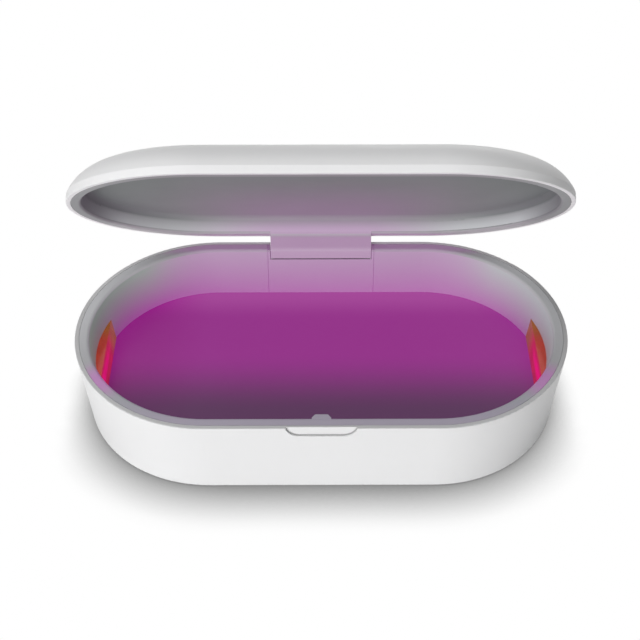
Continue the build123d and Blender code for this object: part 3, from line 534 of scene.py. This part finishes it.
def tubeFinish():
    material, tree, surface = newFinish("litTube", {"Roughness": 0.2, "Emission Strength": 1.0})
    along = split(tree, coords(tree)["Object"])["Y"]
    ends = span(tree, calc(tree, "ABSOLUTE", along), tube["endsY"])
    tone = mixColour(tree, ends, tube["middle"], tube["end"])
    lit = mixColour(tree, ends, tube["middleGlow"], tube["endGlow"])
    feed(tree, surface, {"Base Color": tone, "Emission Color": lit})
    return material


litTube = tubeFinish()

# the amber covers: a roof that meets the wall, an upright front toward the cavity, and a tip at the back,
# each with the light of the tube inside painted on as a glow
lampCover = {
    "roof": rgb(0.10, 0.03, 0.03),
    "roofWall": rgb(0.18, 0.03, 0.002),
    "roofEdge": rgb(0.32, 0.022, 0.010),
    "roofX": (112 * mm, 102 * mm),
    "tip": rgb(0.06, 0.045, 0.025),
    "tipGlow": rgb(0.225, 0.06, 0.006),
    "tipY": (5 * mm, 17 * mm),
    "front": rgb(0.06, 0.01, 0.015),
    "frontGlow": rgb(0.37, 0.010, 0.03),
    "frontFacing": (0.6, 0.95),
    # the lit tube seen through the front, painted as a streak of light: widest by the near end, hugging
    # the top edge
    "streak": rgb(0.60, 0.0, 0.125),
    "streakZ": (16.3 * mm, 28.0 * mm),
    "streakMiddle": 0.6,
    "streakY": (-22 * mm, 12 * mm),
    "streakWidth": (0.5, 0.16),
    "streakEdge": (0.25, 0.85),
    "streakFade": (-8 * mm, 12 * mm),
    "flowSize": 160.0,
    "flowReach": (0.25, 0.75),
    "flowLight": (0.85, 1.1),
    "flowAlpha": (0.8, 0.9),
}


def coverFinish():
    shader = {"Roughness": 0.14, "IOR": 1.49, "Emission Strength": 1.0}
    material, tree, surface = newFinish("amberCover", shader)
    source = coords(tree)
    axes = split(tree, source["Object"])
    front = calc(tree, "ABSOLUTE", split(tree, source["Normal"])["X"])
    front = span(tree, front, lampCover["frontFacing"])
    tip = span(tree, axes["Y"], lampCover["tipY"])
    flow = noise(tree, source["Object"], lampCover["flowSize"], detail=3.0)
    flow = span(tree, flow, lampCover["flowReach"], lampCover["flowLight"])

    up = span(tree, axes["Z"], lampCover["streakZ"], smooth=False)
    width = span(tree, axes["Y"], lampCover["streakY"], lampCover["streakWidth"], smooth=False)
    offMiddle = calc(tree, "ABSOLUTE", calc(tree, "SUBTRACT", up, lampCover["streakMiddle"]))
    streak = span(tree, calc(tree, "DIVIDE", offMiddle, width), lampCover["streakEdge"], falling)
    streak = product(tree, streak, span(tree, axes["Y"], lampCover["streakFade"], falling))

    frontGlow = mixColour(tree, streak, lampCover["frontGlow"], lampCover["streak"])
    roofward = span(tree, calc(tree, "ABSOLUTE", axes["X"]), lampCover["roofX"])
    roofGlow = mixColour(tree, roofward, lampCover["roofWall"], lampCover["roofEdge"])
    lit = mixColour(tree, front, roofGlow, frontGlow)
    lit = mixColour(tree, tip, lit, lampCover["tipGlow"])
    lit = mixColour(tree, 1.0, lit, flow, blend="MULTIPLY")
    body = mixColour(tree, front, lampCover["roof"], lampCover["front"])
    body = mixColour(tree, tip, body, lampCover["tip"])
    alpha = span(tree, flow, lampCover["flowLight"], lampCover["flowAlpha"])
    feed(tree, surface, {"Base Color": body, "Emission Color": lit, "Alpha": alpha})
    return material


amberCover = coverFinish()
print("finishes made")

finishes = {
    "base_shell": whiteBase,
    "lid_shell": whiteShell,
    "base_liner": greyLiner,
    "hinge_panel": greyLiner,
    "lid_liner": greyLid,
    "bottom_cover": plainWhite,
    "foot_ring": footRubber,
    "cover_screws": zincSteel,
    "board_screws": zincSteel,
    "control_board": boardGreen,
    "board_chips": blackResin,
    "lamp_transformer": nylonCream,
    "lamp_connectors": nylonCream,
    "usb_c_socket": zincSteel,
    "power_button": plainWhite,
    "switch_stem": blackResin,
    "tact_switch": blackResin,
    "light_pipe": clearPipe,
    "status_led": siliconeWhite,
    "hall_sensor": blackResin,
    "sensor_lead": sleeveBlack,
    "hinge_pin": polishedSteel,
    "friction_washers": phenolicBrown,
    "lid_magnet": polishedSteel,
}
for end in ("left", "right"):
    finishes["lamp_cover_" + end] = amberCover
    finishes["lamp_reflector_" + end] = brightSheet
    finishes["uv_tube_" + end] = litTube
    finishes["tube_holders_" + end] = siliconeWhite
    finishes["lamp_leads_" + end] = sleeveWhite
for name, piece in nodes.items():
    for slot in piece.material_slots:
        slot.material = finishes[name]
print("finishes on all CAD nodes")

# the pale floor, white where it is seen and shaded around what stands on it
stage = {
    "half": 6.0,
    "tone": rgb(0.8, 0.8, 0.8),
    "shadowReach": 0.028,
    "darkest": 0.27,
    "covered": 0.45,
    "clearY": (-55 * mm, 0.0),
    "clear": (0.955, 0.74),  # wide in front of the case, tight beside it
}
bpy.ops.object.select_all(action="DESELECT")
bpy.ops.mesh.primitive_plane_add(size=2 * stage["half"], location=(0, 0, 0))
floor = bpy.context.object
floor.name = "floor"
shader = {"Base Color": stage["tone"], "Roughness": 1.0, "Specular IOR Level": 0.0}
paper, tree, surface = newFinish("floorPaper", shader)
opening = put(tree, "ShaderNodeAmbientOcclusion", {"Distance": stage["shadowReach"]}, samples=16)
opening = opening.outputs["AO"]
clear = span(tree, split(tree, coords(tree)["Object"])["Y"], stage["clearY"], stage["clear"])
shadow = span(tree, opening, (stage["covered"], clear), (stage["darkest"], 1.0), smooth=False)
bright = put(tree, "ShaderNodeEmission", {"Color": white, "Strength": shadow}).outputs[0]
shown = put(tree, "ShaderNodeMixShader", {0: plainRay(tree), 1: surface.outputs[0], 2: bright})
tree.links.new(shown.outputs[0], tree.nodes["Material Output"].inputs["Surface"])
floor.data.materials.append(paper)

studio = {"fill": 0.12, "seen": 1.0}
world = bpy.data.worlds.new("studio")
bpy.context.scene.world = world
world.use_nodes = True
tree = world.node_tree
strength = span(tree, plainRay(tree), (0.0, 1.0), (studio["fill"], studio["seen"]), smooth=False)
feed(tree, tree.nodes["Background"], {"Color": white, "Strength": strength})

lamps = {
    "key": {"at": (-0.62, -1.69, 0.34), "wide": 1.4, "high": 0.6, "power": 19.7},
    "top": {"at": (-0.45, 0.1, 1.5), "wide": 1.2, "high": 1.2, "power": 10.4},
    "rear": {"at": (0.6, 1.7, 0.16), "wide": 1.4, "high": 0.3, "power": 2.2},
    "highFront": {"at": (-0.35, -1.05, 1.25), "wide": 1.0, "high": 1.0, "power": 3.6},
}
lampTarget = Vector((0, 0, 0.05))
for name, lamp in lamps.items():
    data = bpy.data.lights.new(name, "AREA")
    data.shape = "RECTANGLE"
    data.size = lamp["wide"]
    data.size_y = lamp["high"]
    data.energy = lamp["power"]
    light = bpy.data.objects.new(name, data)
    light.location = lamp["at"]
    light.rotation_euler = (lampTarget - Vector(lamp["at"])).to_track_quat("-Z", "Y").to_euler()
    bpy.context.scene.collection.objects.link(light)

view = {
    "at": (-0.000732, -0.431153, 0.442373),
    "pitch": 42.526,
    "yaw": -0.029,
    "roll": -0.115,
    "lens": 71.247,
    "sensor": 36.0,
    "clipStart": 0.01,
}
cameraData = bpy.data.cameras.new("camera")
cameraData.lens = view["lens"]
cameraData.sensor_width = view["sensor"]
cameraData.clip_start = view["clipStart"]
camera = bpy.data.objects.new("camera", cameraData)
yaw = Matrix.Rotation(math.radians(view["yaw"]), 4, "Z")
pitch = Matrix.Rotation(math.radians(90 - view["pitch"]), 4, "X")
roll = Matrix.Rotation(math.radians(view["roll"]), 4, "Z")
camera.matrix_world = Matrix.Translation(view["at"]) @ yaw @ pitch @ roll
bpy.context.scene.collection.objects.link(camera)
bpy.context.scene.camera = camera
bpy.context.scene.view_settings.view_transform = "Standard"
print("stage, lights and camera set")
